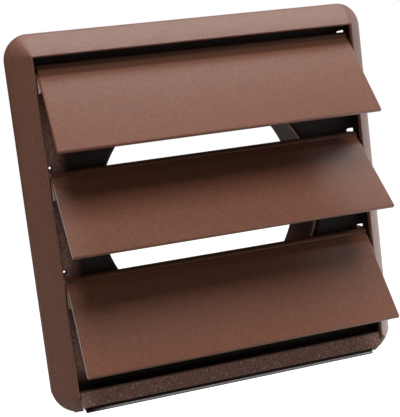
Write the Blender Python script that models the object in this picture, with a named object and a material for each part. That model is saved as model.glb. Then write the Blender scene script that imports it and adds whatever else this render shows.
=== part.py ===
"""Gravity wall vent: a square wall plate with three hanging flaps in front of a round duct collar.

Metres, +Z up, the front towards -Y and the wall face at Y = 0. The origin is where the duct axis meets the wall.
"""

import math

import bmesh
import bpy
from mathutils import Vector

MM = 0.001

# Surround: the smooth bevelled cover on the top and the two sides
INNER_HALF_WIDTH = 61.2 * MM
INNER_TOP = 61.6 * MM
SILL_TOP_Z = -60.4 * MM
FACE_DEPTH = 15.4 * MM
SIDE_RIM_DEPTH = 5.0 * MM
SIDE_BORDER = 8.8 * MM
TOP_BORDER = 9.4 * MM
FOOT_BORDER = 8.7 * MM
FOOT_FLATTENING = 0.7 * MM
LEG_DROP = 1.6 * MM
LEG_CORNER_Z = SILL_TOP_Z - LEG_DROP
COVER_WALL = 1.5 * MM
BEVEL_BULGE = 0.8 * MM
INNER_EDGE_ROUND = 0.5 * MM
OUTER_EDGE_ROUND = 0.9 * MM
CORNER_STEPS = 10
BEVEL_STEPS = 10
FOOT_WALL_PROUD = 0.05 * MM
RIB_WIDTH = 1.2 * MM
RIB_SET_BACK = 0.6 * MM
SIDE_RIBS_Z = (-0.68 * INNER_TOP, 0.0, 0.68 * INNER_TOP)
TOP_RIBS_X = (-0.68 * INNER_HALF_WIDTH, 0.0, 0.68 * INNER_HALF_WIDTH)

# Shutter box: back plate, cheeks, head wall and the textured bottom strip
FIT_GAP = 0.3 * MM
BOX_WALL = 1.5 * MM
PLATE_SET_BACK = 7.0 * MM
PLATE_FRONT = PLATE_SET_BACK - FACE_DEPTH
PLATE_THICKNESS = 2.0 * MM
PLATE_BACK = PLATE_FRONT + PLATE_THICKNESS
CHEEK_FOOT_Z = LEG_CORNER_Z + FIT_GAP
SILL_FRONT = 1.4 * MM - FACE_DEPTH
SILL_EDGE_ROUND = 0.4 * MM
APRON_FRONT = -FACE_DEPTH
APRON_HEIGHT = 6.1 * MM
APRON_FOOT_Z = SILL_TOP_Z - APRON_HEIGHT
APRON_WALL = 1.8 * MM
DRIP_GROOVE = 1.1 * MM
DRIP_GROOVE_DEPTH = 1.1 * MM
DRIP_LIP_HEIGHT = 1.0 * MM
DRIP_LIP_SET_BACK = 0.6 * MM
DRIP_LIP_ROUND = 0.25 * MM
DRIP_LIP_TOP_Z = APRON_FOOT_Z - DRIP_GROOVE
BOX_FOOT_Z = DRIP_LIP_TOP_Z - DRIP_LIP_HEIGHT
DRIP_LIP_INSETS = {-1.0: 1.7 * MM, 1.0: 4.2 * MM}
STRIP_HALF = INNER_HALF_WIDTH - FIT_GAP - FOOT_WALL_PROUD
STRIP_END_ROUND = 1.4 * MM
STRIP_CORNERS = {-1.0: 0.3 * MM, 1.0: 1.2 * MM}
STRIP_CORNER_SLOPE = 2.0
STRIP_BACK_INSET = 3.7 * MM

# Duct collar and the opening in front of it
COLLAR_RADIUS = 49.0 * MM
COLLAR_WALL = 1.75 * MM
COLLAR_BORE = COLLAR_RADIUS - COLLAR_WALL
COLLAR_END = 26.7 * MM
COLLAR_LEAD_IN = 0.8 * MM
FLANGE_WIDTH = 0.41 * (INNER_HALF_WIDTH - COLLAR_RADIUS)
FLANGE_RADIUS = COLLAR_RADIUS + FLANGE_WIDTH
FLANGE_FILLET = 0.16 * FLANGE_WIDTH
FLANGE_THICKNESS = 1.8 * MM
OPENING_STEP = 3.55 * MM
OPENING_RADIUS = COLLAR_BORE - OPENING_STEP
OPENING_ROUND = 1.5 * MM
LOCATING_RING_RUN = 1.0 * MM
LOCATING_RING_BACK = PLATE_BACK + LOCATING_RING_RUN
ROUND_STEPS = 96

# Flaps and their pivots
FLAP_COUNT = 3
PIVOT_DROP = 3.7 * MM
TIP_ROOM = 2.35 * MM
FLAP_PITCH = (INNER_TOP - SILL_TOP_Z - PIVOT_DROP - TIP_ROOM) / FLAP_COUNT
PIVOT_HEIGHTS = tuple(INNER_TOP - PIVOT_DROP - i * FLAP_PITCH for i in range(FLAP_COUNT))
PIVOT_SET_FORWARD = 3.5 * MM
PIVOT_DEPTH = PLATE_FRONT - PIVOT_SET_FORWARD
OPEN_ANGLES_DEG = (39.3, 46.2, 36.2)
SIDE_PLAY = (0.0 * MM, -0.2 * MM, 0.0 * MM)
FLAP_LENGTH = FLAP_PITCH - 0.25 * MM
FLAP_HALF_WIDTH = INNER_HALF_WIDTH - 1.0 * MM
FLAP_THICKNESS = 1.5 * MM
TIP_ROUND = 0.6 * MM
BEAD_RADIUS = 1.4 * MM
EAR_WIDTH = 1.7 * MM
EAR_HALF_WIDTH = INNER_HALF_WIDTH - 0.4 * MM
EAR_START = 2.0 * MM
EAR_DEPTH = PIVOT_SET_FORWARD + 0.4 * MM
EAR_TOP_DEPTH = PIVOT_SET_FORWARD - 0.3 * MM
EAR_FRONT_LENGTH = 11.2 * MM
EAR_BACK_LENGTH = 8.4 * MM
PIN_RADIUS = 0.8 * MM
PIN_END = INNER_HALF_WIDTH
PIN_CLEARANCE = 0.08 * MM
PIVOT_BOSS_RADIUS = 1.5 * MM
PIVOT_BOSS_HEIGHT = 0.7 * MM
PIVOT_HOLE_DEPTH = 1.0 * MM
PIN_STEPS = 24

# Slots beside the right cheek and stepped holes beside the left one, through the back plate
SLOT_RISE = 0.9 * MM
SLOT_LENGTH = 2.8 * MM
SLOT_HEIGHT = 1.6 * MM
SLOT_STEPS = 6
STEPPED_HOLE_RISE = 2.95 * MM
STEPPED_HOLE_INSET = 1.55 * MM
STEPPED_HOLE_RADIUS = 0.95 * MM
STEPPED_HOLE_DEPTH = 1.2 * MM
STEPPED_HOLE_BORE = 0.45 * MM

# Screw points hidden behind the flaps
SCREW_INSET = 9.2 * MM
SCREW_HOLE_RADIUS = 2.2 * MM
SCREW_BOSS_RADIUS = 4.2 * MM
SCREW_STEPS = 32

# How far a Boolean tool runs past the face it cuts or joins
OVERLAP = 0.4 * MM
CUT_MARGIN = 5.0 * MM

FLAP_NAMES = ("flap_top", "flap_middle", "flap_bottom")


def clear_scene():
    """Removes every object of the startup scene."""
    for existing in list(bpy.data.objects):
        bpy.data.objects.remove(existing, do_unlink=True)


def plastic(name, colour, roughness):
    """A Principled material for one moulded piece."""
    made = bpy.data.materials.new(name)
    made.use_nodes = True
    shader = made.node_tree.nodes["Principled BSDF"]
    shader.inputs["Base Color"].default_value = (*colour, 1.0)
    shader.inputs["Roughness"].default_value = roughness
    return made


def mesh_object(name, points, faces):
    """A linked mesh object with doubles merged and its faces outwards."""
    mesh = bpy.data.meshes.new(name)
    shape = bmesh.new()
    corners = [shape.verts.new(point) for point in points]
    for face in faces:
        shape.faces.new([corners[index] for index in face])
    bmesh.ops.remove_doubles(shape, verts=shape.verts, dist=1e-6)
    bmesh.ops.recalc_face_normals(shape, faces=shape.faces)
    shape.to_mesh(mesh)
    shape.free()
    made = bpy.data.objects.new(name, mesh)
    bpy.context.scene.collection.objects.link(made)
    return made


def extruded(name, outline, start, end, place):
    """Extrudes a closed outline from start to end; place turns (a, b, along) into a point."""
    count = len(outline)
    points = [place(a, b, along) for along in (start, end) for a, b in outline]
    faces = [
        (i, (i + 1) % count, count + (i + 1) % count, count + i) for i in range(count)
    ]
    faces.append(tuple(range(count)))
    faces.append(tuple(range(count, 2 * count)))
    return mesh_object(name, points, faces)


def along_x(y, z, x):
    return Vector((x, y, z))


def along_y(x, z, y):
    return Vector((x, y, z))


def along_z(x, y, z):
    return Vector((x, y, z))


def block(name, low, high):
    """A box between two corners."""
    outline = [(low[0], low[2]), (high[0], low[2]), (high[0], high[2]), (low[0], high[2])]
    return extruded(name, outline, low[1], high[1], along_y)


def circle(radius, steps, centre=(0.0, 0.0)):
    """The corners of a regular polygon inside a circle."""
    turns = [2.0 * math.pi * i / steps for i in range(steps)]
    return [
        (centre[0] + radius * math.cos(t), centre[1] + radius * math.sin(t)) for t in turns
    ]


def revolved(name, outline, steps):
    """Turns a closed outline of (radius, y) round the duct axis."""
    count = len(outline)
    points = []
    for i in range(steps):
        turn = 2.0 * math.pi * i / steps
        points += [Vector((r * math.cos(turn), y, r * math.sin(turn))) for r, y in outline]
    faces = []
    for i in range(steps):
        here, there = i * count, (i + 1) % steps * count
        for j in range(count):
            k = (j + 1) % count
            faces.append((here + j, here + k, there + k, there + j))
    return mesh_object(name, points, faces)


def settle(target):
    """Splits faces into triangles, so that the next Boolean meets only flat ones."""
    shape = bmesh.new()
    shape.from_mesh(target.data)
    bmesh.ops.triangulate(shape, faces=shape.faces)
    shape.to_mesh(target.data)
    shape.free()


def apply_boolean(target, tools, operation):
    """Joins or cuts the target with each tool, then removes the tools."""
    settle(target)
    for tool in tools:
        step = target.modifiers.new(operation.lower(), "BOOLEAN")
        step.operation = operation
        step.solver = "EXACT"
        step.object = tool
        bpy.context.view_layer.objects.active = target
        settle(tool)
        bpy.ops.object.modifier_apply(modifier=step.name)
        settle(target)
        bpy.data.objects.remove(tool, do_unlink=True)


def join(target, tools):
    apply_boolean(target, tools, "UNION")


def cut(target, tools):
    apply_boolean(target, tools, "DIFFERENCE")


def finish(target, material, sharp_deg=30.0):
    """Gives the piece its material and smooth shading with sharp edges kept."""
    target.data.materials.clear()
    target.data.materials.append(material)
    target.data.shade_smooth()
    target.data.set_sharp_from_angle(angle=math.radians(sharp_deg))


def bevel_line(width):
    """The straight run of the cover's bevel: its two ends, and its outward normal."""
    start = Vector((INNER_EDGE_ROUND, -FACE_DEPTH))
    end = Vector((width, -SIDE_RIM_DEPTH))
    run = end - start
    normal = Vector((run.y, -run.x)).normalized()
    return start, end, normal


def bevel_point(width, offset, t):
    """A point of the bulged bevel, moved inwards by the offset; t runs from 0 to 1 along it."""
    start, end, normal = bevel_line(width)
    bulge = 4.0 * BEVEL_BULGE * max(0.0, t * (1.0 - t))
    return start + (end - start) * t + normal * (bulge - offset)


def bevel_run(width, offset, near, far):
    """The moved bevel between two distances outwards, as a fixed number of points."""
    limits = []
    for distance in (near, far):
        low, high = -1.0, 3.0
        for _ in range(50):
            middle = (low + high) / 2.0
            if bevel_point(width, offset, middle).x < distance:
                low = middle
            else:
                high = middle
        limits.append((low + high) / 2.0)
    span = limits[1] - limits[0]
    return [
        bevel_point(width, offset, limits[0] + span * i / BEVEL_STEPS)
        for i in range(BEVEL_STEPS + 1)
    ]


def outer_face_points(width):
    """The cover's outer face from the lip to the wall, as (distance outwards, y)."""
    points = []
    for i in range(3):
        turn = math.radians(30.0 * i)
        points.append(
            Vector(
                (
                    INNER_EDGE_ROUND * (1.0 - math.cos(turn)),
                    -FACE_DEPTH + INNER_EDGE_ROUND * (1.0 - math.sin(turn)),
                )
            )
        )
    bevel = [bevel_point(width, 0.0, i / BEVEL_STEPS) for i in range(BEVEL_STEPS + 1)]
    points += bevel[:-1]
    corner = bevel[-1]
    before = corner + (bevel[-2] - corner).normalized() * OUTER_EDGE_ROUND
    after = corner + Vector((0.0, OUTER_EDGE_ROUND))
    for i in range(5):
        t = i / 4
        points.append(before.lerp(corner, t).lerp(corner.lerp(after, t), t))
    points.append(Vector((width, 0.0)))
    return points


def inner_face_points(width, offset):
    """The cover's hidden inner face from the wall to the lip, for a given wall thickness."""
    inside = width - offset
    curve = bevel_run(width, offset, 0.0, inside)
    curve[0] = Vector((0.0, bevel_run(SIDE_BORDER, offset, 0.0, inside)[0].y))
    return [Vector((inside, 0.0)), *reversed(curve)]


def cover_profile(width):
    """The closed hollow section of the surround, as (distance outwards, y)."""
    return outer_face_points(width) + inner_face_points(width, COVER_WALL)


def arc_stations(corner, start_deg, end_deg, start_width, end_width, flattening=0.0):
    """Sweep stations that turn about one inner corner, drawn in at mid-turn by the flattening."""
    stations = []
    for i in range(CORNER_STEPS + 1):
        t = i / CORNER_STEPS
        turn = math.radians(start_deg + (end_deg - start_deg) * t)
        width = start_width + (end_width - start_width) * t
        stations.append((corner, turn, width - 4.0 * flattening * t * (1.0 - t)))
    return stations


def head_stations():
    """The stations round the two top corners, from the left side to the right side."""
    stations = arc_stations((-INNER_HALF_WIDTH, INNER_TOP), 180.0, 90.0, SIDE_BORDER, TOP_BORDER)
    stations += arc_stations((INNER_HALF_WIDTH, INNER_TOP), 90.0, 0.0, TOP_BORDER, SIDE_BORDER)
    return stations


def cover_stations():
    """The surround's path: left foot, left side, head, right side, right foot."""
    left = (-INNER_HALF_WIDTH, LEG_CORNER_Z)
    right = (INNER_HALF_WIDTH, LEG_CORNER_Z)
    left_foot = arc_stations(left, 270.0, 180.0, FOOT_BORDER, SIDE_BORDER, FOOT_FLATTENING)
    right_foot = arc_stations(right, 0.0, -90.0, SIDE_BORDER, FOOT_BORDER, FOOT_FLATTENING)
    return left_foot + head_stations() + right_foot


def swept(name, stations, profile):
    """Sweeps a closed section, given by the border's width, along the stations and closes its two ends."""
    points = []
    for (x, z), turn, width in stations:
        for point in profile(width):
            points.append(
                Vector((x + math.cos(turn) * point.x, point.y, z + math.sin(turn) * point.x))
            )
    count = len(profile(SIDE_BORDER))
    faces = []
    for i in range(len(stations) - 1):
        here, there = i * count, (i + 1) * count
        for j in range(count):
            k = (j + 1) % count
            faces.append((here + j, here + k, there + k, there + j))
    faces.append(tuple(range(count)))
    faces.append(tuple(range((len(stations) - 1) * count, len(stations) * count)))
    return mesh_object(name, points, faces)


def foot_wall(side):
    """Closes the hollow of one leg beside the bottom strip."""
    outline = [(point.y, LEG_CORNER_Z - point.x) for point in outer_face_points(FOOT_BORDER)]
    outline.append((0.0, LEG_CORNER_Z))
    near = side * (INNER_HALF_WIDTH - FOOT_WALL_PROUD)
    far = side * (INNER_HALF_WIDTH + COVER_WALL)
    return extruded("foot_wall", outline, near, far, along_x)


def rib_outline(width):
    """A stiffening rib between the cover's wall and the box, as (distance outwards, y)."""
    near = BOX_WALL + FIT_GAP
    far = width - COVER_WALL + OVERLAP
    curve = [(point.x, point.y) for point in bevel_run(width, COVER_WALL - OVERLAP, near, far)]
    return [(near, -RIB_SET_BACK), *curve, (far, -RIB_SET_BACK)]


def cover_ribs():
    """Ribs down both sides and across the head."""
    half = RIB_WIDTH / 2.0
    ribs = []
    for z in SIDE_RIBS_Z:
        for side in (-1.0, 1.0):
            outline = [(side * (INNER_HALF_WIDTH + u), y) for u, y in rib_outline(SIDE_BORDER)]
            ribs.append(extruded("rib", outline, z - half, z + half, along_z))
    for x in TOP_RIBS_X:
        outline = [(y, INNER_TOP + u) for u, y in rib_outline(TOP_BORDER)]
        ribs.append(extruded("rib", outline, x - half, x + half, along_x))
    return ribs


def build_surround():
    """The smooth hollow cover with its rounded feet."""
    cover = swept("surround", cover_stations(), cover_profile)
    join(cover, [foot_wall(side) for side in (-1.0, 1.0)])
    join(cover, cover_ribs())
    finish(cover, plastic("surround_plastic", (0.17, 0.09, 0.062), 0.42))
    return cover


def box_section():
    """The section of back plate and bottom strip, as (y, z)."""
    plate_top = INNER_TOP + BOX_WALL / 2.0
    lip_front = APRON_FRONT + DRIP_LIP_SET_BACK
    foot_inside = BOX_FOOT_Z + BOX_WALL
    return [
        (PLATE_FRONT, plate_top),
        (PLATE_BACK, plate_top),
        (PLATE_BACK, SILL_TOP_Z - APRON_WALL),
        (SILL_FRONT + APRON_WALL, SILL_TOP_Z - APRON_WALL),
        (APRON_FRONT + APRON_WALL, foot_inside),
        (0.0, foot_inside),
        (0.0, BOX_FOOT_Z),
        (lip_front + DRIP_LIP_ROUND, BOX_FOOT_Z),
        (lip_front, BOX_FOOT_Z + DRIP_LIP_ROUND),
        (lip_front, DRIP_LIP_TOP_Z),
        (APRON_FRONT + DRIP_GROOVE_DEPTH, DRIP_LIP_TOP_Z),
        (APRON_FRONT + DRIP_GROOVE_DEPTH, APRON_FOOT_Z),
        (APRON_FRONT, APRON_FOOT_Z),
        (SILL_FRONT, SILL_TOP_Z - SILL_EDGE_ROUND),
        (SILL_FRONT + 0.3 * SILL_EDGE_ROUND, SILL_TOP_Z - 0.3 * SILL_EDGE_ROUND),
        (SILL_FRONT + SILL_EDGE_ROUND, SILL_TOP_Z),
        (PLATE_FRONT, SILL_TOP_Z),
    ]


def tray_wall_profile(width):
    """The section of cheek and head wall, its front kept behind the cover, as (distance outwards, y)."""
    behind_cover = COVER_WALL + FIT_GAP
    front = bevel_run(width, behind_cover, 0.0, BOX_WALL)
    front[0] = Vector((0.0, bevel_run(SIDE_BORDER, behind_cover, 0.0, BOX_WALL)[0].y))
    return [Vector((0.0, 0.0)), *front, Vector((BOX_WALL, 0.0))]


def tray_wall():
    """The two cheeks and the head wall between them, as one swept wall."""
    stations = [((-INNER_HALF_WIDTH, CHEEK_FOOT_Z), math.pi, SIDE_BORDER)]
    stations += head_stations()
    stations.append(((INNER_HALF_WIDTH, CHEEK_FOOT_Z), 0.0, SIDE_BORDER))
    return swept("tray_wall", stations, tray_wall_profile)


def strip_end(side):
    """Cuts the bottom strip to its length, with its lower corner taken off."""
    beyond = INNER_HALF_WIDTH + CUT_MARGIN
    low = BOX_FOOT_Z - CUT_MARGIN
    lip_end = INNER_HALF_WIDTH - DRIP_LIP_INSETS[side]
    corner = STRIP_CORNERS[side]
    outline = [
        (STRIP_HALF, SILL_TOP_Z + OVERLAP),
        (STRIP_HALF, APRON_FOOT_Z + corner),
        (STRIP_HALF - STRIP_CORNER_SLOPE * corner, APRON_FOOT_Z),
        (lip_end, APRON_FOOT_Z - DRIP_GROOVE / 2.0),
        (lip_end, low),
        (beyond, low),
        (beyond, SILL_TOP_Z + OVERLAP),
    ]
    outline = [(side * x, z) for x, z in outline]
    return extruded("strip_end", outline, APRON_FRONT - CUT_MARGIN, PLATE_FRONT, along_y)


def strip_end_rounding(side):
    """Rounds the strip's front edge at one end."""
    centre_x = STRIP_HALF - STRIP_END_ROUND
    centre_y = APRON_FRONT + STRIP_END_ROUND
    outline = []
    for i in range(7):
        turn = math.radians(15.0 * i)
        outline.append(
            (
                side * (centre_x + STRIP_END_ROUND * math.sin(turn)),
                centre_y - STRIP_END_ROUND * math.cos(turn),
            )
        )
    outline.append((side * (STRIP_HALF + CUT_MARGIN), centre_y))
    outline.append((side * (STRIP_HALF + CUT_MARGIN), APRON_FRONT - CUT_MARGIN))
    outline.append((side * centre_x, APRON_FRONT - CUT_MARGIN))
    return extruded("strip_rounding", outline, BOX_FOOT_Z - CUT_MARGIN, SILL_TOP_Z + OVERLAP, along_z)


def strip_end_behind(side):
    """Cuts the bottom wall's end behind the plate, clear of the foot's closing wall."""
    beyond = INNER_HALF_WIDTH + CUT_MARGIN
    near_x, far_x = sorted((side * (INNER_HALF_WIDTH - STRIP_BACK_INSET), side * beyond))
    low = (near_x, PLATE_FRONT - OVERLAP, BOX_FOOT_Z - CUT_MARGIN)
    high = (far_x, CUT_MARGIN, CHEEK_FOOT_Z)
    return block("strip_end_behind", low, high)


def pivot_boss(side, height):
    """A round bearing boss on a cheek."""
    inner = side * (INNER_HALF_WIDTH - PIVOT_BOSS_HEIGHT)
    outer = side * (INNER_HALF_WIDTH + FIT_GAP)
    outline = circle(PIVOT_BOSS_RADIUS, PIN_STEPS, (PIVOT_DEPTH, height))
    return extruded("pivot_boss", outline, inner, outer, along_x)


def pivot_hole(side, height):
    """The blind hole in a bearing boss."""
    mouth = side * (INNER_HALF_WIDTH - PIVOT_BOSS_HEIGHT - CUT_MARGIN)
    floor = side * (INNER_HALF_WIDTH - PIVOT_BOSS_HEIGHT + PIVOT_HOLE_DEPTH)
    outline = circle(PIN_RADIUS + PIN_CLEARANCE, PIN_STEPS, (PIVOT_DEPTH, height))
    return extruded("pivot_hole", outline, mouth, floor, along_x)


def bearing_slot(pivot):
    """A rounded slot through the back plate beside the right cheek."""
    radius = SLOT_HEIGHT / 2.0
    centre = INNER_HALF_WIDTH - SLOT_LENGTH + radius
    low = pivot + SLOT_RISE
    outline = [(INNER_HALF_WIDTH, low), (INNER_HALF_WIDTH, low + SLOT_HEIGHT)]
    for i in range(SLOT_STEPS + 1):
        turn = math.radians(90.0 + 180.0 * i / SLOT_STEPS)
        outline.append((centre + radius * math.cos(turn), low + radius + radius * math.sin(turn)))
    return extruded("bearing_slot", outline, PLATE_FRONT - OVERLAP, PLATE_BACK + OVERLAP, along_y)


def slot_outlet(pivot):
    """Opens the right cheek behind the plate, so that the slot runs clear to the back."""
    bottom = pivot + SLOT_RISE
    low = (INNER_HALF_WIDTH - OVERLAP, PLATE_FRONT, bottom)
    high = (INNER_HALF_WIDTH + BOX_WALL + CUT_MARGIN, CUT_MARGIN, bottom + SLOT_HEIGHT)
    return block("slot_outlet", low, high)


def stepped_hole(pivot):
    """A stepped round hole through the back plate beside the left cheek: its recess and its bore."""
    centre = (STEPPED_HOLE_INSET - INNER_HALF_WIDTH, pivot + STEPPED_HOLE_RISE)
    recess = circle(STEPPED_HOLE_RADIUS, PIN_STEPS, centre)
    bore = circle(STEPPED_HOLE_BORE, PIN_STEPS, centre)
    floor = PLATE_FRONT + STEPPED_HOLE_DEPTH
    return [
        extruded("recess", recess, PLATE_FRONT - OVERLAP, floor, along_y),
        extruded("bore", bore, floor - OVERLAP, PLATE_BACK + OVERLAP, along_y),
    ]


def opening_cutter():
    """The duct opening with its rounded front rim."""
    outline = [(0.0, LOCATING_RING_BACK + CUT_MARGIN), (0.0, PLATE_FRONT - CUT_MARGIN)]
    rim = OPENING_RADIUS + OPENING_ROUND
    outline.append((rim, PLATE_FRONT - CUT_MARGIN))
    for i in range(7):
        turn = math.radians(15.0 * i)
        radius = rim - OPENING_ROUND * math.sin(turn)
        outline.append((radius, PLATE_FRONT + OPENING_ROUND * (1.0 - math.cos(turn))))
    outline.append((OPENING_RADIUS, LOCATING_RING_BACK + CUT_MARGIN))
    return revolved("opening", outline, ROUND_STEPS)


def locating_ring():
    """The short ring behind the plate that the collar's bore slips over."""
    outer = COLLAR_BORE - FIT_GAP
    inner = OPENING_RADIUS - OVERLAP
    front = PLATE_FRONT + PLATE_THICKNESS / 2.0
    outline = [
        (inner, front),
        (outer, front),
        (outer, LOCATING_RING_BACK),
        (inner, LOCATING_RING_BACK),
    ]
    return revolved("locating_ring", outline, ROUND_STEPS)


def screw_points():
    across = INNER_HALF_WIDTH - SCREW_INSET
    up = INNER_TOP - SCREW_INSET
    return [(x * across, z * up) for x in (-1.0, 1.0) for z in (-1.0, 1.0)]


def screw_boss(centre):
    """A boss from the plate's back to the wall."""
    front = PLATE_FRONT + PLATE_THICKNESS / 2.0
    return extruded("screw_boss", circle(SCREW_BOSS_RADIUS, SCREW_STEPS, centre), front, 0.0, along_y)


def screw_hole(centre):
    outline = circle(SCREW_HOLE_RADIUS, SCREW_STEPS, centre)
    return extruded("screw_hole", outline, PLATE_FRONT - CUT_MARGIN, CUT_MARGIN, along_y)


def build_shutter_box():
    """The tray that carries the flaps, with its bearing bosses, slots and duct opening."""
    sides = (-1.0, 1.0)
    reach = INNER_HALF_WIDTH + BOX_WALL / 2.0
    box = extruded("shutter_box", box_section(), -reach, reach, along_x)
    cut(box, [strip_end(side) for side in sides])
    cut(box, [strip_end_behind(side) for side in sides])
    cut(box, [strip_end_rounding(side) for side in sides])
    join(box, [tray_wall()])
    join(box, [screw_boss(centre) for centre in screw_points()])
    cut(box, [screw_hole(centre) for centre in screw_points()])
    join(box, [locating_ring()])
    cut(box, [opening_cutter()])
    join(box, [pivot_boss(side, z) for side in sides for z in PIVOT_HEIGHTS])
    cut(box, [pivot_hole(side, z) for side in sides for z in PIVOT_HEIGHTS])
    cut(box, [bearing_slot(z) for z in PIVOT_HEIGHTS])
    cut(box, [slot_outlet(z) for z in PIVOT_HEIGHTS])
    for z in PIVOT_HEIGHTS[1:]:
        cut(box, stepped_hole(z))
    finish(box, plastic("shutter_box_plastic", (0.10, 0.055, 0.042), 0.62))
    return box


def build_duct_collar():
    """The round collar that goes into the duct, with a flange behind the back plate."""
    front = PLATE_BACK + FIT_GAP
    flange_back = front + FLANGE_THICKNESS
    outline = [
        (COLLAR_BORE, front),
        (FLANGE_RADIUS, front),
        (FLANGE_RADIUS, flange_back),
        (COLLAR_RADIUS + FLANGE_FILLET, flange_back),
        (COLLAR_RADIUS + 0.3 * FLANGE_FILLET, flange_back + 0.3 * FLANGE_FILLET),
        (COLLAR_RADIUS, flange_back + FLANGE_FILLET),
        (COLLAR_RADIUS, COLLAR_END - COLLAR_LEAD_IN),
        (COLLAR_RADIUS - COLLAR_LEAD_IN / 2.0, COLLAR_END),
        (COLLAR_BORE, COLLAR_END),
    ]
    collar = revolved("duct_collar", outline, ROUND_STEPS)
    finish(collar, plastic("duct_collar_plastic", (0.13, 0.07, 0.052), 0.5))
    return collar


def flap_section():
    """The flap's section about its pivot: hinge bead, plate and rounded tip, as (y, z)."""
    half = FLAP_THICKNESS / 2.0
    meet = math.asin(half / BEAD_RADIUS)
    points = []
    for i in range(19):
        turn = meet + (2.0 * math.pi - 2.0 * meet) * i / 18
        points.append((BEAD_RADIUS * math.sin(turn), -BEAD_RADIUS * math.cos(turn)))
    tip = -FLAP_LENGTH
    for corner, start in ((-1.0, 180.0), (1.0, 270.0)):
        centre = (corner * (half - TIP_ROUND), tip + TIP_ROUND)
        for i in range(5):
            turn = math.radians(start + 22.5 * i)
            points.append(
                (centre[0] + TIP_ROUND * math.cos(turn), centre[1] + TIP_ROUND * math.sin(turn))
            )
    return points


def flap_ear(side):
    """The stop ear behind one end of the flap."""
    inside = side * (EAR_HALF_WIDTH - EAR_WIDTH)
    outside = side * EAR_HALF_WIDTH
    outline = [
        (0.0, -1.5 * EAR_START),
        (EAR_TOP_DEPTH / 2.0, -EAR_START),
        (EAR_TOP_DEPTH, -EAR_START),
        (EAR_DEPTH, -EAR_BACK_LENGTH),
        (0.0, -EAR_FRONT_LENGTH),
    ]
    return extruded("ear", outline, inside, outside, along_x)


def flap_pin(side):
    """The pivot pin at one end of the bead."""
    start = side * (FLAP_HALF_WIDTH - OVERLAP)
    return extruded("pin", circle(PIN_RADIUS, PIN_STEPS), start, side * PIN_END, along_x)


def build_flap(name, height, open_deg, shift):
    """One hanging flap, modelled about its pivot and then turned to its open angle."""
    sides = (-1.0, 1.0)
    flap = extruded(name, flap_section(), -FLAP_HALF_WIDTH, FLAP_HALF_WIDTH, along_x)
    join(flap, [flap_ear(side) for side in sides])
    join(flap, [flap_pin(side) for side in sides])
    finish(flap, plastic(f"{name}_plastic", (0.15, 0.078, 0.052), 0.45))
    flap.location = (shift, PIVOT_DEPTH, height)
    flap.rotation_euler = (-math.radians(open_deg), 0.0, 0.0)
    return flap


def main():
    clear_scene()
    build_surround()
    build_shutter_box()
    build_duct_collar()
    for name, height, open_deg, shift in zip(FLAP_NAMES, PIVOT_HEIGHTS, OPEN_ANGLES_DEG, SIDE_PLAY):
        build_flap(name, height, open_deg, shift)


main()
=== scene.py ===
"""Dressed scene of a brown moulded gravity wall vent.

Metres, +Z up, the front towards -Y and the wall plane at Y = 0.
The origin is where the duct axis meets the wall.
"""

import logging
import math
from dataclasses import dataclass, field
from enum import Enum
from typing import Callable

import bpy
from mathutils import Matrix, Vector


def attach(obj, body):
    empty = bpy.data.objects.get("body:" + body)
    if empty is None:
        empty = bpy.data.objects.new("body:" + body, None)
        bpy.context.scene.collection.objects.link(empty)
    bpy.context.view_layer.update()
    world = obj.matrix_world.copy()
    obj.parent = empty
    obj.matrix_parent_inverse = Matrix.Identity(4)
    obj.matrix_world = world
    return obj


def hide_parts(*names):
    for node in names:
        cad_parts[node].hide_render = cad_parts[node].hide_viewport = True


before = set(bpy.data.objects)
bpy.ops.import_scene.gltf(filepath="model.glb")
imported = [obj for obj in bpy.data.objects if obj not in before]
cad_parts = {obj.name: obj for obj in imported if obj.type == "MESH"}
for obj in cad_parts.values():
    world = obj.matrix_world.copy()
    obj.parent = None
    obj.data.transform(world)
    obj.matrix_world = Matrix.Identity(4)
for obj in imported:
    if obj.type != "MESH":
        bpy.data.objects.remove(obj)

LOG = logging.getLogger("wall_vent")
MM = 0.001
MERGE_DISTANCE = 0.002 * MM
TOUCH = 0.01 * MM
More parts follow.
